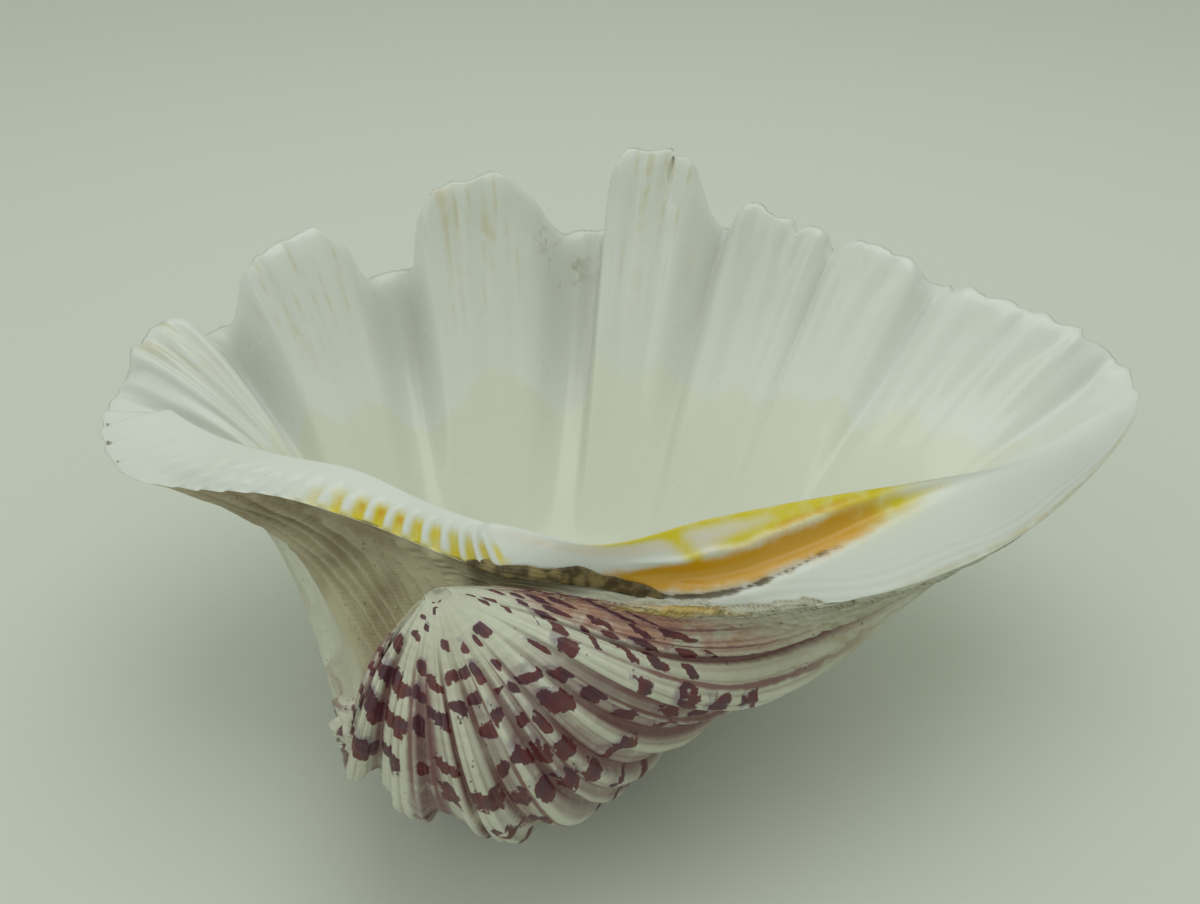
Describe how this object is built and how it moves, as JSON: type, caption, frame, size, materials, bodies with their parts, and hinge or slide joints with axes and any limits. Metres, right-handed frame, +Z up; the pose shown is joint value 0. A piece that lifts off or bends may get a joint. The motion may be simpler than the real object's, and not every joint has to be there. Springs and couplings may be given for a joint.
{
  "type": "giant clam shell valve",
  "caption": "Single ribbed valve of a bear-paw giant clam, hollow side up, with folded margin, crinkled lip, hinge plate and a dried ligament remnant.",
  "frame": {"origin": "under the middle of the bounding box, on the surface that the shell lies on", "axes": "+X towards the long rear end, +Y from the hinge to the folded margin, +Z up out of the hollow"},
  "size_m": [0.3412, 0.2512, 0.144],
  "materials": {
    "shell": "polished porcelain-like inside, dry and worn outside",
    "ligament": "dry, brittle and fibrous"
  },
  "bodies": {
    "root": {"valve": "shell", "ligament": "ligament"}
  },
  "joints": []
}
